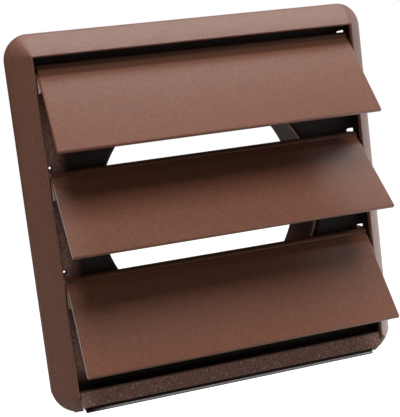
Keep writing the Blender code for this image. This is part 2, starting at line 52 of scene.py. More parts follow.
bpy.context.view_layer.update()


class NodeSheet:
    """Builds one material's node tree with short calls."""

    def __init__(self, name: str) -> None:
        """Starts an empty Principled material.

        Args:
            name: the material's name.
        """
        self.material = bpy.data.materials.new(name)
        self.material.use_nodes = True
        self.tree = self.material.node_tree
        self.shader = self.tree.nodes["Principled BSDF"]
        self.coords = self.tree.nodes.new("ShaderNodeTexCoord")

    def add(self, kind: str, **settings: object) -> bpy.types.Node:
        """Adds a node.

        Args:
            kind: the node's type name.
            settings: attributes to set on it.

        Returns:
            The new node.
        """
        node = self.tree.nodes.new(kind)
        for key, value in settings.items():
            setattr(node, key, value)
        return node

    def link(self, source: bpy.types.NodeSocket, target: bpy.types.NodeSocket) -> None:
        """Links two sockets."""
        self.tree.links.new(source, target)

    def noise(self, scale: float, detail: float = 2.0, roughness: float = 0.5) -> bpy.types.NodeSocket:
        """A noise pattern on Object coordinates.

        Args:
            scale: cells per metre.
            detail: octaves.
            roughness: how strong the finer octaves are.

        Returns:
            The noise value's socket.
        """
        node = self.add("ShaderNodeTexNoise")
        node.inputs["Scale"].default_value = scale
        node.inputs["Detail"].default_value = detail
        node.inputs["Roughness"].default_value = roughness
        self.link(self.coords.outputs["Object"], node.inputs["Vector"])
        return node.outputs["Fac"]

    def ramp(self, value: bpy.types.NodeSocket, stops: list) -> bpy.types.NodeSocket:
        """Turns a value into a colour.

        Args:
            value: the driving value.
            stops: pairs of position and colour.

        Returns:
            The colour's socket.
        """
        node = self.add("ShaderNodeValToRGB")
        band = node.color_ramp
        while len(band.elements) < len(stops):
            band.elements.new(0.5)
        for element, (place, colour) in zip(band.elements, stops):
            element.position = place
            element.color = (*colour, 1.0)
        self.link(value, node.inputs["Fac"])
        return node.outputs["Color"]

    def scaled(self, value: bpy.types.NodeSocket, share: float) -> bpy.types.NodeSocket:
        """Multiplies a value by a share."""
        return self.maths("MULTIPLY", value, share)

    def axes(self) -> tuple:
        """The three Object coordinates.

        Returns:
            The X, Y and Z sockets.
        """
        node = self.add("ShaderNodeSeparateXYZ")
        self.link(self.coords.outputs["Object"], node.inputs["Vector"])
        return node.outputs["X"], node.outputs["Y"], node.outputs["Z"]

    def maths(self, operation: str, first: object, second: object) -> bpy.types.NodeSocket:
        """Combines two values, each a number or a socket.

        Args:
            operation: the sum to do.
            first: the first value.
            second: the second value.

        Returns:
            The result's socket.
        """
        node = self.add("ShaderNodeMath", operation=operation)
        for socket, value in zip(node.inputs, (first, second)):
            if isinstance(value, float):
                socket.default_value = value
            else:
                self.link(value, socket)
        return node.outputs["Value"]

    def product(self, first: object, second: object) -> bpy.types.NodeSocket:
        """Multiplies two values."""
        return self.maths("MULTIPLY", first, second)

    def larger(self, first: object, second: object) -> bpy.types.NodeSocket:
        """Takes the larger of two values."""
        return self.maths("MAXIMUM", first, second)

    def away(self, y: bpy.types.NodeSocket, z: bpy.types.NodeSocket, pivot: tuple) -> bpy.types.NodeSocket:
        """The distance from a line along X.

        Args:
            y: the Y coordinate.
            z: the Z coordinate.
            pivot: a point of the line.

        Returns:
            The distance's socket.
        """
        across = self.maths("SUBTRACT", y, pivot[1])
        down = self.maths("SUBTRACT", z, pivot[2])
        squares = self.maths("ADD", self.product(across, across), self.product(down, down))
        return self.maths("SQRT", squares, 0.0)

    def step(self, value: bpy.types.NodeSocket, start: float, end: float) -> bpy.types.NodeSocket:
        """Runs from 0 to 1 while the value goes from start to end.

        Args:
            value: the driving value.
            start: where the result is 0.
            end: where the result is 1; it may be the lower one.

        Returns:
            The result's socket.
        """
        node = self.add("ShaderNodeMapRange")
        node.inputs["From Min"].default_value = start
        node.inputs["From Max"].default_value = end
        self.link(value, node.inputs["Value"])
        return node.outputs["Result"]

    def blended(
        self, share: bpy.types.NodeSocket, base: bpy.types.NodeSocket, colour: tuple
    ) -> bpy.types.NodeSocket:
        """Mixes a plain colour into a colour.

        Args:
            share: how much of the plain colour.
            base: the colour's socket.
            colour: the plain colour.

        Returns:
            The mixed colour's socket.
        """
        node = self.add("ShaderNodeMixRGB")
        node.inputs["Color2"].default_value = (*colour, 1.0)
        self.link(share, node.inputs["Fac"])
        self.link(base, node.inputs["Color1"])
        return node.outputs["Color"]

    def span(self, value: bpy.types.NodeSocket, low: float, high: float) -> bpy.types.NodeSocket:
        """Maps a 0 to 1 value to a range.

        Args:
            value: the driving value.
            low: the result at 0.
            high: the result at 1.

        Returns:
            The result's socket.
        """
        node = self.add("ShaderNodeMapRange")
        node.inputs["To Min"].default_value = low
        node.inputs["To Max"].default_value = high
        self.link(value, node.inputs["Value"])
        return node.outputs["Result"]


# Zones of painted shade on the box and the collar, and of a painted highlight on the drip lip. Each pair is
# where a zone starts and where it is full.
RECESS_DEPTHS = (-14.8 * MM, -13.4 * MM)
PLATE_DEPTHS = (-6.9 * MM, -7.4 * MM)
PLATE_LEFT = (-58.5 * MM, -53.0 * MM)
PLATE_TOP = (50.0 * MM, 56.0 * MM)
PLATE_FOOT = (-52.0 * MM, -59.0 * MM)
SILL_TOP = (-61.3 * MM, -60.8 * MM)
GROOVE_TOP = (-66.2 * MM, -66.4 * MM)
GROOVE_FRONT = (-14.0 * MM, -14.2 * MM)
LIP_TOP = (-67.4 * MM, -67.5 * MM)
LIP_FOOT = (-68.3 * MM, -68.1 * MM)
LIP_FRONT = (-14.5 * MM, -14.7 * MM)
LIP_LEFT = (-57.0 * MM, -50.0 * MM)
BORE_RADII = (48.6 * MM, 48.1 * MM)

# Zones round a flap's pivot for its painted shade, by the distance from it: the painted shadow band and the
# bead.
HINGE_SHADOW_BAND = (5.4 * MM, 4.2 * MM)
HINGE_BEAD_SHADE = (1.9 * MM, 1.5 * MM)
HINGE_SPECULAR_SHARE = 0.25


class Texture(Enum):
    """The surface that the mould gives a piece."""

    SATIN = "satin"
    SPARK_ERODED = "spark eroded"


@dataclass(frozen=True)
class Grain:
    """The mottle, specks and bumps of one texture; noise scales are cells per metre."""

    mottle_scale: float
    mottle_spread: float
    speck_start: float
    speck_lift: float
    speck_share: float
    bump_scale: float
    bump_strength: float
    mottle_band: tuple = (0.34, 0.66)
    speck_scale: float = 1300.0
    speck_ramp: float = 0.06
    bump_distance: float = 0.25 * MM


GRAINS = {
    Texture.SATIN: Grain(1100.0, 0.16, 0.68, 0.12, 0.4, 1100.0, 0.12),
    Texture.SPARK_ERODED: Grain(1500.0, 0.45, 0.60, 0.35, 0.6, 1300.0, 0.8),
}


@dataclass(frozen=True)
class MouldedPlastic:
    """A brown moulded plastic with its mottle, specks, sheen and grain, and any painted shade and
    highlights.
    """

    name: str
    colour: tuple = (0.192, 0.074, 0.043)
    roughness: float = 0.46
    texture: Texture = Texture.SATIN
    specular: float = 0.5
    # Painted light: the recess, groove, bore, bead and band tones are painted shade, the lip colour a
    # painted highlight.
    recess_shade_tone: float = 1.0
    groove: tuple = (0.012, 0.007, 0.006)
    lip: tuple = (0.80, 0.74, 0.70)
    bore_shade_tone: float = 1.0
    pivot: tuple = ()
    bead_shade_tone: float = 0.55
    hinge_shadow_tone: float = 1.0
    roughness_scale: float = 260.0
    roughness_spread: float = 0.06

    def darkened(self, share: float) -> tuple:
        """The colour multiplied by a share."""
        return tuple(part * share for part in self.colour)

    def tone(self, sheet: NodeSheet) -> bpy.types.NodeSocket:
        """The colour with its cloudy mottle and fine specks.

        Args:
            sheet: the node tree in the making.

        Returns:
            The colour's socket.
        """
        grain = GRAINS[self.texture]
        low, high = (self.darkened(1.0 + turn * grain.mottle_spread) for turn in (-1.0, 1.0))
        clouds = sheet.noise(grain.mottle_scale, 3.0, 0.7)
        mottle = sheet.ramp(clouds, list(zip(grain.mottle_band, (low, high))))
        pale = tuple(part + grain.speck_lift for part in self.colour)
        start, full = grain.speck_start, grain.speck_start + grain.speck_ramp
        dots = sheet.noise(grain.speck_scale, 1.0)
        specks = sheet.ramp(dots, [(start, (0.0, 0.0, 0.0)), (full, (1.0, 1.0, 1.0))])
        return sheet.blended(sheet.scaled(specks, grain.speck_share), mottle, pale)

    def recess_shade_and_lip_glint(self, sheet: NodeSheet, tone: bpy.types.NodeSocket) -> bpy.types.NodeSocket:
        """Paints shade into the recess and the drip groove, and a painted highlight on the drip lip.

        Args:
            sheet: the node tree in the making.
            tone: the colour to change.

        Returns:
            The colour's socket.
        """
        x, y, z = sheet.axes()
        inside = sheet.product(sheet.step(y, *RECESS_DEPTHS), sheet.step(y, *PLATE_DEPTHS))
        inside = sheet.product(inside, sheet.step(z, *SILL_TOP))
        # The painted recess shade spares the plate's left edge, where light falls in past the flaps.
        beside = sheet.larger(sheet.step(x, *PLATE_LEFT), sheet.step(z, *PLATE_TOP))
        share = sheet.product(inside, sheet.larger(beside, sheet.step(z, *PLATE_FOOT)))
        tone = sheet.blended(share, tone, self.darkened(self.recess_shade_tone))
        # Painted shade in the drip groove.
        below = sheet.product(sheet.step(z, *GROOVE_TOP), sheet.step(y, *GROOVE_FRONT))
        tone = sheet.blended(below, tone, self.groove)
        # Painted highlight on the drip lip.
        lip = sheet.product(sheet.step(z, *LIP_TOP), sheet.step(z, *LIP_FOOT))
        lip = sheet.product(lip, sheet.step(y, *LIP_FRONT))
        return sheet.blended(sheet.product(lip, sheet.step(x, *LIP_LEFT)), tone, self.lip)

    def shaded_bore(self, sheet: NodeSheet, tone: bpy.types.NodeSocket) -> bpy.types.NodeSocket:
        """Paints shade on the inside of the duct.

        Args:
            sheet: the node tree in the making.
            tone: the colour to change.

        Returns:
            The colour's socket.
        """
        x, _, z = sheet.axes()
        inside = sheet.step(sheet.away(x, z, (0.0, 0.0, 0.0)), *BORE_RADII)
        return sheet.blended(inside, tone, self.darkened(self.bore_shade_tone))

    def hinge_shade(self, sheet: NodeSheet, tone: bpy.types.NodeSocket) -> bpy.types.NodeSocket:
        """Paints shade on the bead and a painted shadow on the band below it, and dulls both.

        Args:
            sheet: the node tree in the making.
            tone: the colour to change.

        Returns:
            The colour's socket.
        """
        _, y, z = sheet.axes()
        out = sheet.away(y, z, self.pivot)
        near = sheet.step(out, *HINGE_SHADOW_BAND)
        sheen = sheet.span(near, self.specular, HINGE_SPECULAR_SHARE * self.specular)
        sheet.link(sheen, sheet.shader.inputs["Specular IOR Level"])
        tone = sheet.blended(near, tone, self.darkened(self.hinge_shadow_tone))
        return sheet.blended(sheet.step(out, *HINGE_BEAD_SHADE), tone, self.darkened(self.bead_shade_tone))

    def grain(self, sheet: NodeSheet) -> bpy.types.NodeSocket:
        """The bumps of the mould's surface.

        Args:
            sheet: the node tree in the making.

        Returns:
            The normal's socket.
        """
        grain = GRAINS[self.texture]
        bump = sheet.add("ShaderNodeBump")
        bump.inputs["Strength"].default_value = grain.bump_strength
        bump.inputs["Distance"].default_value = grain.bump_distance
        sheet.link(sheet.noise(grain.bump_scale, 3.0, 0.6), bump.inputs["Height"])
        return bump.outputs["Normal"]

    def material(self) -> bpy.types.Material:
        """Builds the finish's material.

        Returns:
            The material.
        """
        sheet = NodeSheet(self.name)
        tone = self.tone(sheet)
        # Painted shade and highlights, where the finish asks for them.
        if self.recess_shade_tone < 1.0:
            tone = self.recess_shade_and_lip_glint(sheet, tone)
        if self.bore_shade_tone < 1.0:
            tone = self.shaded_bore(sheet, tone)
        if self.pivot:
            tone = self.hinge_shade(sheet, tone)
        sheet.link(tone, sheet.shader.inputs["Base Color"])
        sheet.shader.inputs["Specular IOR Level"].default_value = self.specular
        wear = sheet.noise(self.roughness_scale, 4.0)
        low, high = self.roughness - self.roughness_spread, self.roughness + self.roughness_spread
        sheet.link(sheet.span(wear, low, high), sheet.shader.inputs["Roughness"])
        sheet.link(self.grain(sheet), sheet.shader.inputs["Normal"])
        return sheet.material


class Bench:
    """Edit-mode steps on one mesh piece."""

    def __init__(self, piece: bpy.types.Object) -> None:
        """Takes a fresh primitive and applies its placing.

        Args:
            piece: the primitive's object.
        """
        self.piece = piece
        bpy.ops.object.transform_apply(location=True, rotation=True, scale=True)

    def pick(self, test: Callable[[Vector], bool]) -> None:
        """Goes to edit mode with the vertices selected whose place passes the test.

        Args:
            test: says whether a place counts.
        """
        bpy.ops.object.mode_set(mode="EDIT")
        bpy.ops.mesh.select_mode(type="VERT")
        bpy.ops.mesh.select_all(action="DESELECT")
        bpy.ops.object.mode_set(mode="OBJECT")
        for vertex in self.piece.data.vertices:
            vertex.select = test(vertex.co)
        bpy.ops.object.mode_set(mode="EDIT")

    def move(self, test: Callable[[Vector], bool], step: tuple) -> None:
        """Moves the vertices that pass the test.

        Args:
            test: says whether a place counts.
            step: how far they move.
        """
        self.pick(test)
        bpy.ops.transform.translate(value=step)
        bpy.ops.object.mode_set(mode="OBJECT")

    def round_edges(self, test: Callable[[Vector], bool], width: float, segments: int = 4) -> None:
        """Rounds every edge between the vertices that pass the test.

        Args:
            test: says whether a place counts.
            width: how far in the rounding starts.
            segments: its steps.
        """
        self.pick(test)
        bpy.ops.mesh.select_mode(type="EDGE")
        bpy.ops.mesh.bevel(offset=width, segments=segments, affect="EDGES")
        bpy.ops.object.mode_set(mode="OBJECT")

    def resize(self, test: Callable[[Vector], bool], scale: tuple, centre: tuple) -> None:
        """Scales the vertices that pass the test.

        Args:
            test: says whether a place counts.
            scale: the three factors.
            centre: the point that stays.
        """
        self.pick(test)
        bpy.ops.transform.resize(value=scale, center_override=centre)
        bpy.ops.object.mode_set(mode="OBJECT")

    def close_ends(self) -> None:
        """Merges doubled points and closes the open ends."""
        self.pick(lambda place: True)
        bpy.ops.mesh.remove_doubles(threshold=MERGE_DISTANCE)
        bpy.ops.mesh.select_all(action="DESELECT")
        bpy.ops.mesh.select_non_manifold(extend=False)
        bpy.ops.mesh.fill_holes(sides=0)
        bpy.ops.mesh.select_all(action="SELECT")
        bpy.ops.mesh.normals_make_consistent(inside=False)
        bpy.ops.object.mode_set(mode="OBJECT")

    def join(self, others: list) -> None:
        """Unites the piece with others into one body and removes them.

        Args:
            others: the pieces to unite with it.
        """
        for other in others:
            step = self.piece.modifiers.new("unite", "BOOLEAN")
            step.operation = "UNION"
            step.solver = "EXACT"
            step.object = other
            bpy.context.view_layer.objects.active = self.piece
            bpy.ops.object.modifier_apply(modifier=step.name)
            bpy.data.objects.remove(other, do_unlink=True)

    def finish(self, sharp_deg: float = 35.0) -> bpy.types.Object:
        """Merges doubles, turns the faces outwards and shades the piece smooth.

        Args:
            sharp_deg: edges sharper than this stay sharp.

        Returns:
            The finished piece.
        """
        bpy.ops.object.select_all(action="DESELECT")
        self.piece.select_set(True)
        bpy.context.view_layer.objects.active = self.piece
        bpy.ops.object.mode_set(mode="EDIT")
        bpy.ops.mesh.select_all(action="SELECT")
        bpy.ops.mesh.remove_doubles(threshold=MERGE_DISTANCE)
        bpy.ops.mesh.normals_make_consistent(inside=False)
        bpy.ops.object.mode_set(mode="OBJECT")
        bpy.ops.object.shade_smooth_by_angle(angle=math.radians(sharp_deg))
        return self.piece


def block(name: str, low: tuple, high: tuple) -> Bench:
    """A block between two corners, ready for edit steps.

    Args:
        name: the piece's name.
        low: its lowest corner.
        high: its highest corner.

    Returns:
        The bench that holds it.
    """
    bpy.ops.object.select_all(action="DESELECT")
    middle = tuple((a + b) / 2.0 for a, b in zip(low, high))
    size = tuple(b - a for a, b in zip(low, high))
    bpy.ops.mesh.primitive_cube_add(size=1.0, location=middle, scale=size)
    bpy.context.object.name = name
    return Bench(bpy.context.object)


def rod(name: str, radius: float, start: float, end: float, steps: int = 48) -> Bench:
    """A round rod along X, ready for edit steps.

    Args:
        name: the piece's name.
        radius: its radius.
        start: the X of one end.
        end: the X of the other end.
        steps: its sides.

    Returns:
        The bench that holds it.
    """
    bpy.ops.object.select_all(action="DESELECT")
    bpy.ops.mesh.primitive_cylinder_add(
        vertices=steps,
        radius=radius,
        depth=abs(end - start),
        location=((start + end) / 2.0, 0.0, 0.0),
        rotation=(0.0, math.radians(90.0), 0.0),
    )
    bpy.context.object.name = name
    return Bench(bpy.context.object)


def from_outline(name: str, points: list, filled: bool) -> bpy.types.Object:
    """A closed outline as the start of a piece.

    Args:
        name: the piece's name.
        points: the outline's corners in order.
        filled: whether the outline gets a face.

    Returns:
        The object.
    """
    count = len(points)
    data = bpy.data.meshes.new(name)
    edges = [(i, (i + 1) % count) for i in range(count)]
    data.from_pydata(points, [] if filled else edges, [tuple(range(count))] if filled else [])
    piece = bpy.data.objects.new(name, data)
    bpy.context.scene.collection.objects.link(piece)
    bpy.ops.object.select_all(action="DESELECT")
    piece.select_set(True)
    bpy.context.view_layer.objects.active = piece
    return piece


@dataclass
class Cover:
    """The smooth hollow cover: two legs, a head, round corners and rounded feet."""

    inner_half_width: float = 61.2 * MM
    inner_top: float = 61.6 * MM
    leg_foot: float = -62.0 * MM
    side_border: float = 8.8 * MM
    top_border: float = 9.4 * MM
    foot_border: float = 8.7 * MM
    foot_flattening: float = 0.7 * MM
    depth: float = 15.4 * MM
    rim_depth: float = 5.0 * MM
    bulge: float = 0.35 * MM
    wall: float = 1.5 * MM
    inner_round: float = 0.5 * MM
    outer_round: float = 1.1 * MM
    steps: int = 16
    rib_width: float = 1.2 * MM
    rib_near: float = 1.8 * MM
    rib_back: float = 0.6 * MM
    rib_places: tuple = (-41.7 * MM, 0.0, 41.7 * MM)
    foot_turn_deg: float = 10.0
    lip_steps: int = 4
    outer_round_steps: int = 6
    inner_samples: int = 40
    inner_thinning: int = 3
    station_tolerance: float = 0.02
    finish: MouldedPlastic = MouldedPlastic("cover_brown", (0.178, 0.075, 0.049), 0.50)

    def bevel_point(self, share: float, inset: float = 0.0) -> Vector:
        """A point along the bevel.

        Args:
            share: how far along it lies, 0 at the lip and 1 at the outer corner.
            inset: how far it is moved inwards.

        Returns:
            Its distance outwards and its Y.
        """
        start = Vector((self.inner_round, -self.depth))
        run = Vector((self.side_border, -self.rim_depth)) - start
        normal = Vector((run.y, -run.x)).normalized()
        return start + run * share + normal * (4.0 * self.bulge * share * (1.0 - share) - inset)

    def outer_points(self) -> list:
        """The outer face in section.

        Returns:
            Its points from the lip to the wall.
        """
        points = []
        for i in range(self.lip_steps):
            turn = math.radians(90.0 * i / self.lip_steps)
            lip = self.inner_round
            points.append(
                Vector((lip * (1.0 - math.cos(turn)), lip * (1.0 - math.sin(turn)) - self.depth))
            )
        points += [self.bevel_point(i / self.steps) for i in range(self.steps)]
        corner = self.bevel_point(1.0)
        before = corner + (self.bevel_point(0.9) - corner).normalized() * self.outer_round
        after = corner + Vector((0.0, self.outer_round))
        while points[-1].x > before.x:
            points.pop()
        for i in range(self.outer_round_steps + 1):
            share = i / self.outer_round_steps
            points.append(before.lerp(corner, share).lerp(corner.lerp(after, share), share))
        points.append(Vector((self.side_border, 0.0)))
        return points

    def inner_points(self) -> list:
        """The hidden inner face in section.

        Returns:
            Its points from the wall to the lip.
        """
        inside = self.side_border - self.wall
        samples = self.inner_samples
        curve = [self.bevel_point(i / samples, self.wall) for i in range(-samples // 5, samples + 1)]
        curve = [point for point in curve if 0.0 < point.x < inside][:: self.inner_thinning]
        first = curve[0]
        slope = (curve[1].y - first.y) / (curve[1].x - first.x)
        curve.insert(0, Vector((0.0, first.y - slope * first.x)))
        last = curve[-1]
        curve.append(Vector((inside, last.y + slope * (inside - last.x))))
        return [Vector((inside, 0.0)), *reversed(curve)]

    def sweep(self) -> bpy.types.Object:
        """Runs the section up the left leg, across the head and down the right leg.

        Returns:
            The open shell.
        """
        half, top, foot = self.inner_half_width, self.inner_top, self.leg_foot
        section = self.outer_points() + self.inner_points()
        start = [(-half, point.y, foot - point.x) for point in section]
        piece = from_outline("cover_moulding", start, filled=False)
        bpy.ops.object.mode_set(mode="EDIT")
        bpy.ops.mesh.select_mode(type="VERT")
        bpy.ops.mesh.select_all(action="SELECT")
        quarter = math.radians(-90.0)
        for corner, run in (
            ((-half, 0.0, foot), (0.0, 0.0, top - foot)),
            ((-half, 0.0, top), (2.0 * half, 0.0, 0.0)),
            ((half, 0.0, top), (0.0, 0.0, foot - top)),
            ((half, 0.0, foot), None),
        ):
            bpy.ops.mesh.spin(steps=self.steps, angle=quarter, center=corner, axis=(0.0, 1.0, 0.0))
            if run:
                bpy.ops.mesh.extrude_region_move(TRANSFORM_OT_translate={"value": run})
        bpy.ops.object.mode_set(mode="OBJECT")
        return piece

    def on_station(self, place: Vector, side: float, turn: float) -> bool:
        """Whether a point lies on one station of a foot's turn.

        Args:
            place: the point.
            side: -1 for the left foot, 1 for the right one.
            turn: the station's angle from straight down.

        Returns:
            True where it does.
        """
        out = side * place.x - self.inner_half_width
        down = self.leg_foot - place.z
        far = math.hypot(out, down) > TOUCH and out > -TOUCH and down > -TOUCH
        return far and abs(math.atan2(out, down) - turn) < self.station_tolerance

    def draw_in_foot(self, bench: Bench, side: float) -> None:
        """Flattens one foot at mid-turn.

        Args:
            bench: the cover's bench.
            side: -1 for the left foot, 1 for the right one.
        """
        centre = (side * self.inner_half_width, 0.0, self.leg_foot)
        for i in range(1, self.steps):
            share = i / self.steps
            turn = math.radians(90.0) * share
            draw = 1.0 - 4.0 * self.foot_flattening / self.side_border * share * (1.0 - share)
            bench.resize(lambda place: self.on_station(place, side, turn), (draw, 1.0, draw), centre)

    def proportion(self, bench: Bench) -> None:
        """Gives the head and the feet their own heights and flattens the feet.

        Args:
            bench: the cover's bench.
        """
        top, foot = self.inner_top, self.leg_foot
        head_scale = (1.0, 1.0, self.top_border / self.side_border)
        foot_scale = (1.0, 1.0, self.foot_border / self.side_border)
        bench.resize(lambda place: place.z > top + TOUCH, head_scale, (0.0, 0.0, top))
        for side in (-1.0, 1.0):
            self.draw_in_foot(bench, side)
        bench.resize(lambda place: place.z < foot - TOUCH, foot_scale, (0.0, 0.0, foot))

    def foot_plate(self, side: float) -> bpy.types.Object:
        """The plate that closes one foot beside the bottom strip.

        Args:
            side: -1 for the left foot, 1 for the right one.

        Returns:
            The plate.
        """
        near = side * self.inner_half_width
        share = self.foot_border / self.side_border
        outline = [(near, point.y, self.leg_foot - share * point.x) for point in self.outer_points()]
        outline.append((near, 0.0, self.leg_foot))
        plate = from_outline("foot_plate", outline, filled=True)
        bpy.ops.object.mode_set(mode="EDIT")
        bpy.ops.mesh.select_all(action="SELECT")
        bpy.ops.mesh.extrude_region_move(TRANSFORM_OT_translate={"value": (side * self.wall, 0.0, 0.0)})
        bpy.ops.mesh.select_all(action="SELECT")
        bpy.ops.mesh.normals_make_consistent(inside=False)
        bpy.ops.object.mode_set(mode="OBJECT")
        return plate

    def rib(self, low: tuple, high: tuple, outwards: Vector) -> bpy.types.Object:
        """One stiffening rib between the wall and the box.

        Args:
            low: its lowest corner.
            high: its highest corner.
            outwards: the direction from the opening to the cover's outer wall.

        Returns:
            The rib.
        """
        rib = block("cover_rib", low, high)
        middle = (Vector(low) + Vector(high)) / 2.0
        reach = abs((Vector(high) - Vector(low)).dot(outwards))
        lean = (self.depth - self.rim_depth) / self.side_border * reach
        rib.move(
            lambda place: place.y < middle.y and (place - middle).dot(outwards) > 0.0,
            (0.0, lean, 0.0),
        )
        return rib.piece

    def ribs(self) -> list:
        """The ribs down both sides and across the head.

        Returns:
            The ribs.
        """
        half_rib = self.rib_width / 2.0
        near, far = self.rib_near, self.side_border - 0.5 * self.wall
        slope = (self.depth - self.rim_depth) / self.side_border
        front = -self.depth + slope * near + 0.8 * self.wall
        ribs = []
        for place in self.rib_places:
            for side in (-1.0, 1.0):
                ends = sorted((side * (self.inner_half_width + near), side * (self.inner_half_width + far)))
                low = (ends[0], front, place - half_rib)
                high = (ends[1], -self.rib_back, place + half_rib)
                ribs.append(self.rib(low, high, Vector((side, 0.0, 0.0))))
            low = (place - half_rib, front, self.inner_top + near)
            high = (place + half_rib, -self.rib_back, self.inner_top + far)
            ribs.append(self.rib(low, high, Vector((0.0, 0.0, 1.0))))
        return ribs

    def turn_feet(self, bench: Bench) -> None:
        """Turns the end of each foot a little towards the bottom strip.

        Args:
            bench: the cover's bench.
        """
        below = self.leg_foot - 5.0 * TOUCH
        for side in (-1.0, 1.0):
            end = side * self.inner_half_width
            bench.pick(lambda place: abs(place.x - end) < TOUCH and place.z < below)
            bpy.ops.transform.rotate(
                value=-side * math.radians(self.foot_turn_deg),
                orient_axis="Z",
                center_override=(end, -self.depth, self.leg_foot),
            )
            bpy.ops.object.mode_set(mode="OBJECT")

    def build(self) -> None:
        """Models the cover and gives it to the housing."""
        bench = Bench(self.sweep())
        self.proportion(bench)
        bench.close_ends()
        bench.join([self.foot_plate(side) for side in (-1.0, 1.0)] + self.ribs())
        self.turn_feet(bench)
        piece = bench.finish(30.0)
        piece.data.materials.append(self.finish.material())
        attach(piece, "housing")
        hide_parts("surround")
        LOG.info("%s: %d faces", piece.name, len(piece.data.polygons))


@dataclass(frozen=True)
class Hanging:
    """How one flap hangs, and how dark its painted hinge shade and how pale its painted end highlights are.
    """

    node: str
    body: str
    pivot: tuple
    open_deg: float
    end_highlight_tone: float
    hinge_shadow_tone: float = 1.0
    bead_shade_tone: float = 0.55
    ears_only: bool = False

    def finish(self) -> MouldedPlastic:
        """The brown finish of the flap, with painted shade at its hinge."""
        return MouldedPlastic(
            f"{self.node}_brown",
            specular=0.75,
            pivot=self.pivot,
            hinge_shadow_tone=self.hinge_shadow_tone,
            bead_shade_tone=self.bead_shade_tone,
        )

    def painted_end_highlight(self) -> MouldedPlastic:
        """A pale colour on the cut ends and ears: a painted highlight."""
        tone = self.end_highlight_tone
        return MouldedPlastic(f"{self.node}_ends", (tone, 0.92 * tone, 0.86 * tone), 0.4)


@dataclass
class Flap:
    """A hanging flap: plate, hinge bead, pivot pins and stop ears."""

    half_width: float = 60.2 * MM
    length: float = 38.4 * MM
    thickness: float = 1.5 * MM
    edge_round: float = 0.6 * MM
    bead_radius: float = 1.4 * MM
    bead_end_round: float = 0.3 * MM
    pin_radius: float = 0.8 * MM
    pin_end: float = 61.2 * MM
    pin_root: float = 1.0 * MM
    pin_round: float = 0.2 * MM
    ear_inside: float = 59.1 * MM
    ear_outside: float = 60.8 * MM
    ear_round: float = 0.2 * MM
    ear_top: tuple = (3.2 * MM, -2.0 * MM)
    ear_back: tuple = (3.9 * MM, -8.4 * MM)
    ear_foot: float = -11.2 * MM
    end_facing: float = 0.8

    def plate(self) -> Bench:
        """The flat plate with its rounded tip and ends.

        Returns:
            The bench that holds it.
        """
        half = self.thickness / 2.0
        low = (-self.half_width, -half, -self.length)
        plate = block("flap_plate", low, (self.half_width, half, 0.0))
        plate.round_edges(lambda place: True, self.edge_round)
        return plate

    def bead(self) -> bpy.types.Object:
        """The round bead along the top.

        Returns:
            The bead.
        """
        bead = rod("flap_bead", self.bead_radius, -self.half_width, self.half_width)
        for side in (-1.0, 1.0):
            end = side * self.half_width
            bead.round_edges(lambda place: abs(place.x - end) < TOUCH, self.bead_end_round, 3)
        return bead.piece

    def pin(self, side: float) -> bpy.types.Object:
        """The pivot pin at one end.

        Args:
            side: -1 for the left end, 1 for the right one.

        Returns:
            The pin.
        """
        end = side * self.pin_end
        pin = rod("flap_pin", self.pin_radius, side * (self.half_width - self.pin_root), end, 32)
        pin.round_edges(lambda place: abs(place.x - end) < TOUCH, self.pin_round, 3)
        return pin.piece

    def ear(self, side: float) -> bpy.types.Object:
        """The stop ear behind one end.

        Args:
            side: -1 for the left end, 1 for the right one.

        Returns:
            The ear.
        """
        inside, outside = sorted((side * self.ear_inside, side * self.ear_outside))
        back, back_foot = self.ear_back
        ear = block("flap_ear", (inside, 0.0, self.ear_foot), (outside, back, self.ear_top[1]))
        ear.move(
            lambda place: place.y > back / 2.0 and place.z < back_foot,
            (0.0, 0.0, back_foot - self.ear_foot),
        )
        ear.move(
            lambda place: place.y > back / 2.0 and place.z > back_foot / 2.0,
            (0.0, self.ear_top[0] - back, 0.0),
        )
        ear.round_edges(lambda place: True, self.ear_round, 2)
        return ear.piece

    def pattern(self) -> bpy.types.Object:
        """The flap about its pivot, hanging straight down.

        Returns:
            The united flap.
        """
        plate = self.plate()
        parts = [self.bead()]
        parts += [make(side) for side in (-1.0, 1.0) for make in (self.pin, self.ear)]
        plate.join(parts)
        return plate.finish()

    def hang(self, pattern: bpy.types.Object, hanging: Hanging) -> None:
        """Copies the pattern, turns it to its open angle and gives it to its body.

        Args:
            pattern: the flap about its pivot.
            hanging: where it hangs and how far it is open.
        """
        piece = pattern.copy()
        piece.data = pattern.data.copy()
        piece.name = f"{hanging.node}_moulding"
        bpy.context.scene.collection.objects.link(piece)
        piece.rotation_euler = (-math.radians(hanging.open_deg), 0.0, 0.0)
        piece.location = hanging.pivot
        bpy.ops.object.select_all(action="DESELECT")
        piece.select_set(True)
        bpy.context.view_layer.objects.active = piece
        bpy.ops.object.transform_apply(location=True, rotation=True, scale=True)
        piece.data.materials.append(hanging.finish().material())
        piece.data.materials.append(hanging.painted_end_highlight().material())
        # The end faces take the painted highlight; with ears_only just those of the ears.
        for face, flat in zip(piece.data.polygons, pattern.data.polygons):
            on_ear = flat.center.y > self.thickness / 2.0
            if abs(face.normal.x) > self.end_facing and (on_ear or not hanging.ears_only):
                face.material_index = 1
        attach(piece, hanging.body)
        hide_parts(hanging.node)
        LOG.info("%s: %d faces", piece.name, len(piece.data.polygons))


PIVOT_DEPTH = -11.9 * MM


